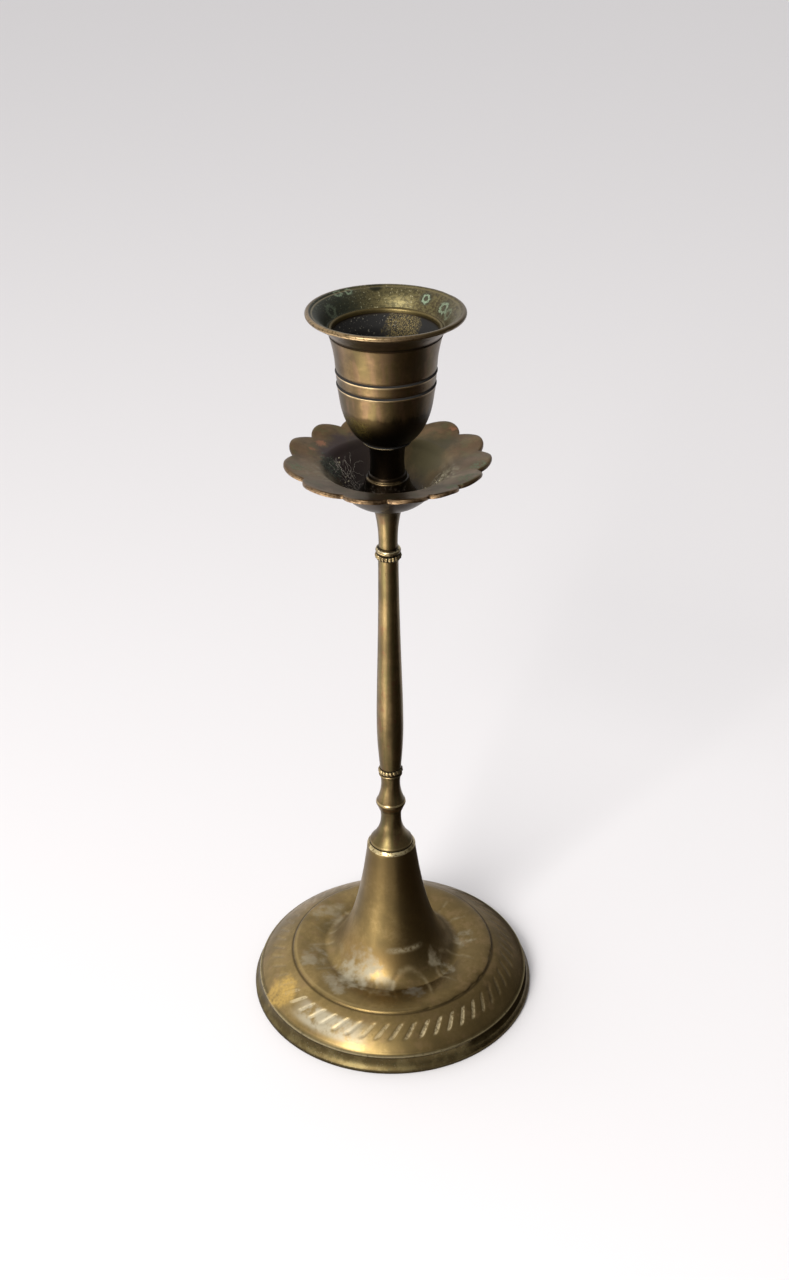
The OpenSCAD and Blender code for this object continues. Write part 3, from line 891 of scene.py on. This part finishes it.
def base_shell():
    """The hollow base, with slanting cuts round its band and worn arches on its field."""
    neck_r, wall, top_t = 5.85, 1.2, 2.0
    band_r, step_z, step_h, field_z = base_r - 1.5, 9.9, 0.5, 10.1
    field_r = step_r - 8
    outline = [(base_r - 0.15, 0), (base_r, 0.15), (base_r, 0.8)]
    outline += curve((base_r - 0.1, 1), (base_r - 0.9, 1.6), (band_r + 0.1, 2.8),
                     (band_r + 0.1, skirt_h - 0.55), 8)
    outline += [(band_r + 0.2, skirt_h - 0.4), (band_r + 0.25, skirt_h - 0.25),
                (band_r + 0.18, skirt_h - 0.08), (band_r, skirt_h)]
    outline += curve((band_r - 0.25, skirt_h + 0.13), (band_r - 1.8, skirt_h + 1.9),
                     (step_r + 3.2, step_z - 1.1), (step_r + 0.35, step_z - 0.02), 30)
    outline += [(step_r + 0.12, step_z + 0.05), (step_r, step_z + 0.2),
                (step_r - 0.1, step_z + 0.38), (step_r - 0.3, step_z + step_h)]
    outline += curve((step_r - 0.6, step_z + step_h + 0.1), (step_r - 2.5, field_z + 1),
                     (field_r + 2.5, field_z + 0.8), (field_r, field_z), 18)
    outline += curve((field_r - 0.4, field_z + 0.07), (neck_r + 7, field_z + 0.9),
                     (neck_r + 3.1, base_top - 23.2), (neck_r + 0.75, base_top - 7), 36)
    outline += [(neck_r + 0.4, base_top - 4.5), (neck_r + 0.05, base_top - 2),
                (neck_r, base_top - 0.9), (neck_r - 0.06, base_top - 0.72),
                (neck_r - 0.18, base_top - 0.55), (neck_r - 0.5, base_top - 0.1),
                (neck_r - 0.62, base_top), (hole_r, base_top), (hole_r, base_top - top_t)]
    top_in = neck_r + 0.4 - wall
    outline += [(top_in - 0.3, base_top - top_t), (top_in, base_top - top_t - 0.3)]
    outline += curve((neck_r + 0.7 - wall, base_top - 7), (neck_r + 3 - wall, base_top - 24),
                     (neck_r + 6.1, field_z - 0.2), (field_r - 0.8, field_z - wall), 18)
    outline += [(step_r - 1, step_z + step_h - wall - 0.1), (step_r - 0.5, step_z - wall)]
    outline += curve((step_r + 0.2, step_z - 0.1 - wall), (step_r + 3, step_z - 1.4 - wall),
                     (band_r - 2.3, skirt_h + 1.8 - wall), (band_r - wall, skirt_h - 0.6), 8)
    outline += [(band_r - wall, 1.6), (base_r - wall - 0.3, 0)]
    shell = turn("engraved_base", outline, STROKES * STROKE_COLUMNS, closed=True)
    column = math.tau / (STROKES * STROKE_COLUMNS)

    def outside(r, z):
        """True on the outer face of the shell."""
        return z > field_z - 0.6 if r < step_r + 0.2 else z > skirt_h + 0.1 - (r - band_r) * 0.6

    def slant(r):
        """How far the strokes have swung round by this radius."""
        return -STROKE_SLANT * (min(max(r, step_r), band_r) - step_r) / STROKE_MIDDLE

    def stroke_depth(r, angle):
        """0 between the strokes, 1 along the middle of one."""
        across = (angle / column) % STROKE_COLUMNS
        if across > STROKE_COLUMNS / 2:
            across -= STROKE_COLUMNS
        half_width = 1.9
        middle = 1 - min(abs(across) / half_width, 1)
        along = ease(r, STROKE_IN, STROKE_IN + 0.7) * (1 - ease(r, STROKE_OUT - 0.9, STROKE_OUT))
        return ease(middle, 0, 0.8) * along

    def arch_depth(r, angle):
        """1 along the line of the worn arches, whose crowns point at the trumpet."""
        half_width, crown, line_width, first = 4.6, 13.2, 0.75, -30
        half_share = 180 / ARCHES
        turned = (math.degrees(angle) - first + half_share) % (2 * half_share) - half_share
        across = math.radians(turned) * r
        if r > crown + half_width:
            away = abs(abs(across) - half_width)
        else:
            away = abs(math.hypot(across, crown + half_width - r) - half_width)
        fade = 1 - ease(r, 20.0, 22.0)
        return ease(1 - away / line_width, 0, 1) * fade * ease(r, 11.5, 12.6)

    cuts = []
    stroke_cut, arch_cut, trumpet_toe_r = 0.14, 0.05, 11.0

    def engrave(r, angle, z):
        """Swings the band's columns along the strokes, then presses the engraving in."""
        depth = 0.0
        if r > step_r - 0.05 and outside(r, z):
            depth = stroke_depth(r, angle)
            r, angle, z = r - 0.06 * depth, angle + slant(r), z - stroke_cut * depth
        elif trumpet_toe_r < r < step_r - 1 and outside(r, z):
            depth = arch_depth(r, angle)
            z -= arch_cut * depth
        cuts.append(depth)
        return r, angle, z

    work(shell, engrave)
    store(shell, "engraving", cuts)

    def dented(r, angle, z):
        """Knocks in the step: five from the front round to the right, and one at the back."""
        reach = 1.6
        if not outside(r, z) or abs(r - step_r) > reach:
            return r, angle, z
        for centre, width, depth in ((-69, 4, 0.3), (-50, 6, 0.35), (-38, 5, 0.5), (-30, 4, 0.4),
                                     (-11, 9, 0.35), (118, 5, 0.3)):
            away = abs(between_angles(angle, centre)) / width
            rough = 0.7 + 0.6 * noise.noise(Vector((angle * 20, r, 0)))
            r -= depth * rough * ease(1 - away, 0, 1) * (1 - abs(r - step_r) / reach)
        return r, angle, z

    work(shell, dented)
    return shell


# ---- Finishes ----

# Colours of what lies on the brass, and of painted highlights and painted shade, as 0-255 sRGB
PIT = (26, 20, 12)
# Painted shade under the cup's lip
LIP_SHADE = (26, 18, 12)
SOOT = (13, 11, 9)
GREASY_SOOT = (24, 21, 17)
VERDIGRIS = (126, 142, 116)
GREEN_CRUST = (26, 30, 21)
# Rubbed brass with a painted highlight, for the groove edges
RUBBED_EDGE_AND_HIGHLIGHT = (204, 178, 134)
DRIED_POLISH = (150, 142, 120)
CLEAN_GOLD = (182, 150, 84)
RUST = (96, 58, 34)


def cup_finish():
    """Satin brass outside, a tarnished bowl below with painted shade over it, a green lip and a
    sooty bore.
    """
    f = old_brass("cup_brass", (86, 70, 46), (64, 53, 36), (108, 88, 58), 0.36)
    fine = f.clouds(1.6, 6, 0.7)
    grain = f.clouds(5, 3, 0.6, shift=3.0)
    f.lay(f.streaks(5, 1.0).rise(0.5, 0.62) * 0.4, (76, 68, 40))
    f.lay(f.streaks(6, 4.0).rise(0.52, 0.62) * 0.4, (96, 74, 56))
    # A rubbed edge under each groove with a painted highlight, brightest at the lit left, and a
    # dark band in each groove
    lit = f.sector(-135, 55, 35) * 0.75 + 0.25
    for groove_z in cup_grooves:
        f.lay(f.z.near(groove_z - 0.26, 0.38) * fine.rise(0.22, 0.4) * lit, RUBBED_EDGE_AND_HIGHLIGHT, 0.28)
        f.lay(f.z.near(groove_z + 0.2, 0.22) * 0.7, (46, 32, 15), 0.5)
    # The tarnish that begins below the grooves, with painted shade over it: dark streaks on the
    # front right, then darker and darker down the bowl
    line = f.z + (f.clouds(0.5, 5, 0.6, (1, 1, 0.3)) - 0.5) * 2.4
    f.lay(line.fall(rim_z - 20.6, rim_z - 20.0) * 0.75, (60, 48, 29), 0.40)
    shaded_streaks = f.z + (f.clouds(0.9, 3, 0.5, (1, 1, 0.12), 6.0) - 0.5) * 7.0
    f.lay(shaded_streaks.fall(rim_z - 21.5, rim_z - 18.5) * f.sector(-45, 50, 25) * 0.8, (26, 21, 13), 0.42)
    f.lay(f.z.fall(rim_z - 25.5, rim_z - 21) * 0.9, (22, 18, 12), 0.42)
    stipple = grain.rise(0.50, 0.62) * line.fall(rim_z - 21.6, rim_z - 20.4)
    stipple = stipple * f.sector(-150, 34) * f.z.rise(cup_z + 1.5, cup_z + 5)
    f.lay(stipple * 0.7, (120, 108, 50), 0.5, raised=0.03)
    # The bottom bead: dark all round, with a painted highlight on its left
    bead_line = f.z.fall(cup_z + 0.5, cup_z + 0.75) * f.r.rise(4.6, 5.0)
    f.lay(bead_line, (36, 30, 20), 0.4)
    f.lay(bead_line * f.sector(-120, 40), (200, 184, 148), 0.25)
    # Painted shade where the lip springs from the body
    lip_root_shade = f.z.near(rim_z - 4.6, 0.6) * f.r.fall(throat_r + 1.3, throat_r + 1.8)
    f.lay(lip_root_shade * 0.9, LIP_SHADE, 0.5)
    # The lip's upper face: green at the left, brown at the right, with spun rings and specks
    inside = f.marked("inside")
    lip = inside * f.z.rise(rim_z - 4.3, rim_z - 4.1)
    f.lay(lip, (98, 90, 60), 0.42, 0.9)
    rings = f.turning_lines(2.2, 2)
    f.lay(lip * rings.rise(0.5, 0.6) * 0.5, (66, 58, 38), 0.5, 0.8)
    f.lay(lip * fine.rise(0.46, 0.6) * 0.75, (60, 56, 36), 0.5, 0.8)
    dark_green = f.sector(165, 48, 20) * (fine + 0.12).rise(0.35, 0.55)
    f.lay(lip * dark_green * 0.9, (30, 36, 26), 0.5, 0.5)
    f.lay(lip * f.sector(20, 40, 20) * fine.rise(0.42, 0.56) * 0.6, (60, 48, 30), 0.45, 0.8)
    specks = f.clouds(2.6, 3, 0.5, shift=5.0).rise(0.63, 0.67)
    f.lay(lip * specks * f.sector(88, 26, 14) * 0.8, (160, 152, 116), 0.6, 0.3, 0.05)
    f.lay(lip * specks * f.sector(145, 34, 14) * 0.5, (112, 120, 100), 0.6, 0.2, 0.05)
    # Rings of verdigris round dark stains, each with its place, its size and how much shows
    stains = (((8.4, 10.5, -1.5), 0.7, 1.0), ((11.9, 5.6, -1.8), 0.95, 0.7),
              ((-7.8, 12.6, -0.6), 0.6, 0.6), ((-10.1, 11.2, -0.6), 0.7, 0.5),
              ((-11.4, 6.2, -2.6), 1.1, 0.25), ((12.6, 2.8, -2.1), 0.9, 0.35))
    for (x, y, up), size, amount in stains:
        place = (x, y, rim_z + up)
        patch = f.spot(place, size * 1.8, 0.6, 1.6)
        ring = patch.rise(0.2, 0.6) * f.spot(place, size * 0.95, 0.5, 1.6).fall(0.1, 0.6)
        f.lay(f.spot(place, size * 2.6, 0.6, 1.6) * inside * 0.7 * amount, (34, 38, 25), 0.6, 0.3)
        f.lay(ring * inside * amount * grain.rise(0.34, 0.5), VERDIGRIS, 0.75, 0.0, 0.06)
    f.lay(f.spot((-2.2, 15.1, rim_z - 0.2), 2.0, 0.2) * lip * 0.85, (30, 32, 20), 0.4)
    throat = inside * f.r.fall(throat_r + 0.75, throat_r + 0.95)
    bead_in = throat * f.z.rise(rim_z - 4.6, rim_z - 4.2)
    f.lay(bead_in, (96, 84, 54), 0.4, 1.0)
    f.lay(f.r.near(rim_r - 1.3, 0.3) * inside * 0.8, (104, 94, 66), 0.36)
    rim = f.r.rise(rim_r - 0.85, rim_r - 0.6)
    f.lay(rim, (88, 74, 50), 0.3, 1.0)
    # A painted highlight on the rim's front left
    f.lay(rim * f.sector(-125, 52, 20) * fine.fall(0.5, 0.62) * 0.8, (140, 118, 88), 0.34)
    # Soot down the bore, with a rough scorched patch at the back
    bore = inside * f.z.fall(rim_z - 5.0, rim_z - 4.4) * f.r.fall(throat_r - 0.1, throat_r + 0.2)
    f.lay(bore, SOOT, 0.8, 0.1)
    scorch = f.spot((3.6, 9.2, rim_z - 6.8), 4.8, 0.6, 0.45) * grain.rise(0.44, 0.62)
    f.lay(bore * scorch, (128, 112, 68), 0.65, 0.4, 0.05)
    f.lay(bore * specks * f.sector(115, 45) * f.z.rise(rim_z - 10, rim_z - 7) * 0.4,
          (150, 146, 130), 0.6, 0.0, 0.05)
    return f.done()


def spool_finish():
    """Nearly black, with grey specks of old wax and painted highlights on the flange's edges at the
    front left.
    """
    f = old_brass("sooty_brass", (36, 28, 20), (21, 17, 12), (50, 40, 27), 0.38)
    fine = f.clouds(1.8, 5, 0.7)
    f.lay(fine.rise(0.55, 0.66) * f.z.fall(foot_z + 3, foot_z + 6), (58, 52, 44), 0.7, 0.2, 0.05)
    # Painted highlights on the flange's edges, only at the front left
    f.lay(f.z.near(foot_z + 5.1, 0.4) * f.sector(-110, 60) * fine.rise(0.3, 0.5) * 0.6,
          (122, 104, 74), 0.4)
    f.lay(f.z.near(foot_z + 1.25, 0.3) * f.sector(-80, 60) * 0.6, (100, 82, 56), 0.38)
    return f.done()


def pan_finish():
    """Brown, greasy brass: tan petals, soot and a green crust in the bowl."""
    f = old_brass("pan_brass", (96, 77, 52), (72, 59, 40), (116, 96, 66), 0.38, 0.2)
    fine = f.clouds(1.5, 6, 0.7)
    grain = f.clouds(4.5, 3, 0.6, shift=2.0)
    top = f.marked("inside")

    def at(x, y, up):
        """A place in the pan, with its height above the pan's underside."""
        return (x, y, pan_z + up)

    petals = f.r.rise(pan_fold_r + 0.2, pan_fold_r + 2.7)
    f.lay(petals * f.clouds(0.25, 3, shift=4.0).rise(0.46, 0.62) * 0.45, (102, 78, 56), 0.38)
    f.lay(petals * f.clouds(0.35, 4, shift=8.0).rise(0.5, 0.6) * 0.4, (88, 86, 56), 0.42)
    f.lay(top * f.r.fall(pan_fold_r - 1.3, pan_fold_r + 1.2) * 0.5, (92, 82, 58), 0.44, 0.85)
    f.lay(top * f.spot(at(-8.5, 7.0, 6.9), 9.0, 0.45, 0.25), (54, 42, 40), 0.48, 0.7)
    f.lay(top * f.spot(at(-4, 10, 4.9), 7.5, 0.4, 0.3, 2.0) * 0.7, (42, 35, 31), 0.5, 0.6)
    # A painted shadow of the cup on the bowl, to the right and back of the foot
    f.lay(top * f.spot(at(9.5, 9.0, 6.9), 6.5, 0.5, 0.3, 5.0) * 0.7, (62, 60, 42), 0.42)
    # Soot and grease round the foot, and a green crust beside it
    soot = f.r.fall(6, 11) * (fine + 0.15).rise(0.45, 0.62)
    f.lay(top * soot, GREASY_SOOT, 0.65, 0.2, 0.06)
    crust = f.spot(at(-12.0, 2.6, 6.9), 3.8, 0.8, 0.6, 1.0) * grain.rise(0.35, 0.5)
    f.lay(top * crust, GREEN_CRUST, 0.75, 0.0, 0.15)
    f.lay(top * crust * grain.rise(0.56, 0.64), (110, 126, 98), 0.8, 0.0, 0.08)
    # Coppery rubs and green blooms on the petals
    for place, size in ((at(-14.6, 9.5, 8.9), 1.6), (at(-16.5, 6.4, 8.9), 1.2),
                        (at(14.5, 14.6, 9.9), 1.2)):
        f.lay(top * f.spot(place, size, 0.8, 1.2) * 0.7, (138, 92, 66), 0.35)
    for place, size in ((at(16.5, -10.0, 9.9), 2.8), (at(19.5, -4.0, 9.9), 2.2),
                        (at(-19, -4, 9.9), 2.0), (at(14.0, -14.5, 9.9), 2.4)):
        f.lay(f.spot(place, size, 0.9, 0.9) * fine.rise(0.45, 0.6), (84, 98, 72), 0.7, 0.1, 0.04)
    # Dried wax and polish in the bowl, and a painted highlight along the crease at the front
    haze = f.clouds(0.9, 6, 0.75, shift=9.0).rise(0.44, 0.62)
    hazy = top * haze
    f.lay(hazy * f.spot(at(9, -5, 5.9), 8.5, 0.5, 0.35), (140, 134, 112), 0.65, 0.3, 0.04)
    f.lay(hazy * f.spot(at(-2, -10, 3.9), 8.0, 0.5, 0.35) * 0.9, (150, 143, 124), 0.6, 0.2, 0.05)
    f.lay(hazy * f.spot(at(-13, -5, 7.9), 6.0, 0.5, 0.35) * 0.6, (122, 114, 96), 0.6, 0.3, 0.04)
    powder = f.r.near(10.2, 4.0) * f.sector(-98, 34, 18) * fine.rise(0.34, 0.56)
    f.lay(top * powder * 0.6, (138, 130, 114), 0.7, 0.1, 0.03)
    # A painted highlight along the crease at the front
    crease = f.r.near(pan_fold_r - 0.1, 0.5) * f.sector(-90, 62) * fine.fall(0.5, 0.64)
    f.lay(top * crease * 0.8, (140, 124, 94), 0.32)
    # Painted shade on the bowl's underside, and the petals' edges: dark all round, with a painted
    # highlight at the front left
    under = 1 - top
    f.lay(under * f.r.fall(pan_fold_r - 0.5, pan_fold_r + 0.1) * 0.8, (50, 40, 28), 0.36)
    edge = f.marked("edge")
    f.lay(edge * 0.8, (78, 60, 42), 0.36, 1.0)
    f.lay(edge * f.sector(-112, 70) * fine.fall(0.46, 0.6) * 0.8, (126, 104, 78), 0.38)
    return f.done()


def stem_finish():
    """Brown satin brass with long soft streaks."""
    f = old_brass("stem_brass", (98, 82, 54), (76, 64, 42), (122, 102, 70), 0.36)
    f.lay(f.streaks(4, 2.0).rise(0.48, 0.6) * 0.5, (84, 78, 48))
    f.lay(f.clouds(0.35, 3, shift=6.0).rise(0.56, 0.66) * 0.5, (98, 68, 48))
    # Painted shade on the neck under the pan, darker towards the top
    under_pan_shade = f.z.rise(neck_z + 5, pan_z) * 0.8
    f.lay(under_pan_shade, (62, 55, 45), 0.42)
    # The knop's crest and the bell's edge are rubbed, and dirt sits where the pieces meet
    f.lay(f.z.near(knop_z + 2.45, 0.3) * f.r.rise(3.2, 3.4) * 0.9, (172, 154, 114), 0.25)
    f.lay(f.z.near(knop_z + 1.0, 0.8) * f.r.rise(2.9, 3.1) * 0.5, (132, 100, 64), 0.28)
    f.lay(f.z.near(stem_foot_z + 0.5, 0.3) * f.r.rise(4.8, 5.0) * 0.6, (138, 120, 84), 0.3)
    for joint in (knop_z, lower_ring_z, stem_z, upper_ring_z, neck_z, stem_foot_z):
        f.lay(f.z.near(joint, 0.4) * 0.75, (34, 27, 17), 0.55)
    return f.done()


def ring_finish():
    """Paler brass with black dirt between its crests, painted shade on its right side and a painted
    glint on the upper ring's crest.
    """
    f = old_brass("ring_brass", (138, 120, 86), (104, 90, 62), (170, 152, 114), 0.28, 0.5)
    f.lay(f.r.fall(2.55, 2.76) * 0.9, (38, 31, 21), 0.55)
    f.lay(f.clouds(1.2, 4, shift=3.0).rise(0.56, 0.64) * 0.6, (74, 74, 56), 0.5)
    # Painted shade on the right side
    f.lay(f.sector(-10, 60, 20) * 0.6, (48, 42, 30), 0.4)
    glint = f.z.near(upper_ring_z + 2.45, 0.3) * f.clouds(0.8, 2).fall(0.5, 0.6)
    f.lay(glint, (222, 206, 166), 0.22)
    return f.done()


def base_finish():
    """Golden olive brass with dried polish in the engraving and on the worn patches."""
    f = old_brass("base_brass", (128, 108, 68), (100, 86, 56), (150, 128, 86), 0.37, 0.12)
    fine = f.clouds(1.2, 6, 0.7)
    grain = f.clouds(3.5, 3, 0.6, shift=2.0)
    cloudy = f.clouds(0.3, 6, 0.65, shift=5.0)
    # Painted shade on the right side
    f.lay(f.sector(5, 75, 35) * 0.6, (86, 71, 44))
    f.lay(cloudy.rise(0.5, 0.64) * f.z.fall(12, 18) * 0.5, (128, 106, 74), 0.42)
    f.lay(f.z.rise(base_top - 22, base_top - 4) * 0.6, (84, 68, 42))
    # The broken pale chamfer of the neck's rim, and a painted shadow in the gap between it and the
    # bell
    rim = f.z.rise(base_top - 1.0, base_top - 0.8) * f.r.rise(5.2, 5.3)
    f.lay(rim * fine.rise(0.36, 0.52) * (cloudy + 0.4).rise(0.7, 0.95), (198, 182, 140), 0.32)
    f.lay(f.z.rise(base_top - 0.12, base_top - 0.02) * 0.9, (22, 17, 11), 0.7)
    # A painted highlight, warm and bright, on the toe of the trumpet at the front left
    toe = f.z.near(15.0, 5.0) * f.sector(-115, 40, 25)
    f.lay(toe * 0.5, (150, 122, 76), 0.4)
    # The skirt: mottled, with a painted highlight line under its top and dirt along its foot
    skirt = f.z.fall(skirt_h, skirt_h + 0.5) * f.r.rise(32, 33)
    f.lay(skirt, (84, 72, 46), 0.42)
    f.lay(skirt * cloudy.rise(0.44, 0.6) * 0.6, (112, 100, 68), 0.46)
    f.lay(skirt * fine.rise(0.56, 0.64) * 0.5, (66, 66, 44), 0.5)
    # A painted highlight line under the skirt's top
    pale_line = f.z.near(skirt_h - 0.25, 0.38) * f.r.rise(33, 33.3)
    f.lay(pale_line * fine.fall(0.52, 0.7), (176, 162, 126), 0.3)
    f.lay(f.z.fall(0.3, 1.2) * f.r.rise(33, 34) * 0.7, (44, 38, 26), 0.6)
    # The cuts, pale and worn, with a painted highlight that is brightest at the front and weaker in
    # its middle; the dirty step; a painted highlight on the field edge at the front left
    cuts = f.marked("engraving")
    band = f.r.rise(step_r + 0.5, step_r + 1.5)
    # Where the cuts carry their painted highlight: mostly at the front
    shown = f.sector(-96, 52, 12) * 0.88 + 0.12
    faint = f.sector(-98, 16, 10) * 0.5
    broken = (fine + cloudy * 0.5).fall(0.66, 0.96)
    bright_cuts = cuts.rise(0.05, 0.6) * band * broken * shown * (1 - faint)
    f.lay(bright_cuts, (182, 166, 130), 0.5, 0.75)
    f.lay(f.r.near(step_r + 0.2, 0.5) * f.z.fall(10.6, 10.9) * 0.75, (56, 45, 27), 0.5)
    # A painted highlight on the field edge at the front left
    f.lay(f.r.near(step_r - 0.7, 0.5) * f.sector(-135, 60) * 0.5, (150, 130, 88), 0.3)
    # Dried polish: broad soft patches on the field and in the worn arches
    ragged = f.clouds(0.4, 4, 0.55, shift=8.0)
    soft = ragged.rise(0.32, 0.66)
    f.lay(cuts * (1 - band) * soft * 0.5, (150, 136, 104), 0.55, 0.6, 0.02)
    patches = (((-8.5, -11.5, 12.4), 6.6, 1.0), ((-12.5, -14.0, 10.9), 5.0, 0.7),
               ((-19.4, -5.0, 10.8), 4.2, 0.65), ((-16.4, 11.0, 10.6), 5.2, 0.55),
               ((10.6, -8.0, 13.2), 3.0, 0.8), ((13.4, -9.6, 10.4), 2.2, 0.7),
               ((18.0, 1.4, 10.6), 3.4, 0.6), ((-3.0, -15.5, 10.3), 5.0, 0.5))
    for place, size, amount in patches:
        hazy = f.spot(place, size, 0.8, 0.3) * soft
        f.lay(hazy * amount * 0.8, DRIED_POLISH, 0.58, 0.35, 0.015)
    # A wiped arc across the trumpet, a grey smear in front of it, and haze on the band with a
    # painted reflection of the window in it
    arc = f.z.near(17.4, 1.1) * f.sector(-73, 17, 12)
    f.lay(arc * fine.rise(0.3, 0.55) * 0.65, (164, 154, 126), 0.5, 0.4)
    f.lay(f.spot((5.0, -18.2, 10.6), 3.0, 0.9, 0.5, 4.0) * soft * 0.6, (118, 118, 112), 0.5, 0.5)
    band_haze_and_reflection = f.sector(-122, 15, 8) * f.r.near(29.8, 3.4).rise(0.1, 0.6)
    f.lay(band_haze_and_reflection * band * ragged.rise(0.3, 0.55) * 0.75, (162, 154, 132), 0.5, 0.4)
    # Clean gold metal at the left of the band, and pale grains on the skirt
    gold = f.spot((-27.6, -13.6, 6.8), 5.2, 0.6, 0.25, 3.0) * band * (cloudy + fine).rise(0.6, 1.2)
    f.lay(gold * 0.9, CLEAN_GOLD, 0.28)
    grains = grain.rise(0.66, 0.7) * f.sector(-100, 40) * f.z.fall(skirt_h - 0.8, skirt_h + 0.2)
    f.lay(grains, DRIED_POLISH, 0.5)
    return f.done()


def dry_finish(name, color, roughness):
    """Wax or dust: no metal in it, and mottled darker."""
    f = Finish(name, color, roughness, 0.0)
    mottle = f.clouds(2.5, 5, 0.6)
    f.lay(mottle.rise(0.45, 0.65) * 0.6, [c * 0.7 for c in color], roughness + 0.08)
    f.height = mottle * 0.05
    return f.done()


def steel_finish():
    """Grey steel for the rod, the washer and the nut, with brown specks of rust."""
    f = Finish("rod_steel", (132, 132, 134), 0.38)
    rust = f.clouds(1.3, 6, 0.7)
    f.lay(rust.rise(0.5, 0.62) * 0.6, (92, 80, 70), 0.55)
    f.lay(rust.rise(0.62, 0.7) * 0.8, RUST, 0.8, 0.2, 0.03)
    f.height = f.height + rust * 0.02
    return f.done()


stem_brass = stem_finish()
ring_brass = ring_finish()
steel = steel_finish()

place(candle_cup(), "cup", cup_finish(), "candle_cup", slot="cup_brass")
place(cup_foot(), "cup", spool_finish(), "cup_foot", slot="sooty_brass")
pan = place(drip_pan(), "pan", pan_finish(), "drip_pan", slot="pan_brass")
place(wax_crumbs(pan), "pan", dry_finish("old_wax", (142, 134, 112), 0.6), slot="pan_brass")
place(dust_fluff(pan), "pan", dry_finish("dust", (138, 132, 122), 0.9), slot="pan_brass")
place(stem_neck(), "stand", stem_brass, "stem_neck", slot="stem_brass")
place(upper_ring(), "stand", ring_brass, "upper_ring", slot="ring_brass")
place(main_stem(), "stand", stem_brass, "main_stem", slot="stem_brass")
place(lower_ring(), "stand", ring_brass, "lower_ring", slot="ring_brass")
place(knop(), "stand", stem_brass, "knop", slot="stem_brass")
place(stem_foot(), "stand", stem_brass, "stem_foot", slot="stem_brass")
place(base_shell(), "stand", base_finish(), "base_shell", slot="base_brass")
for hidden in ("cup_stud", "neck_stud"):
    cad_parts[hidden].data.materials.clear()
    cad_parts[hidden].data.materials.append(steel)
place(tie_rod(), "stand", steel, "tie_rod", slot="steel")
place(base_washer(), "washer", steel, "base_washer", slot="steel")
place(base_nut(), "nut", steel, "base_nut", slot="steel")
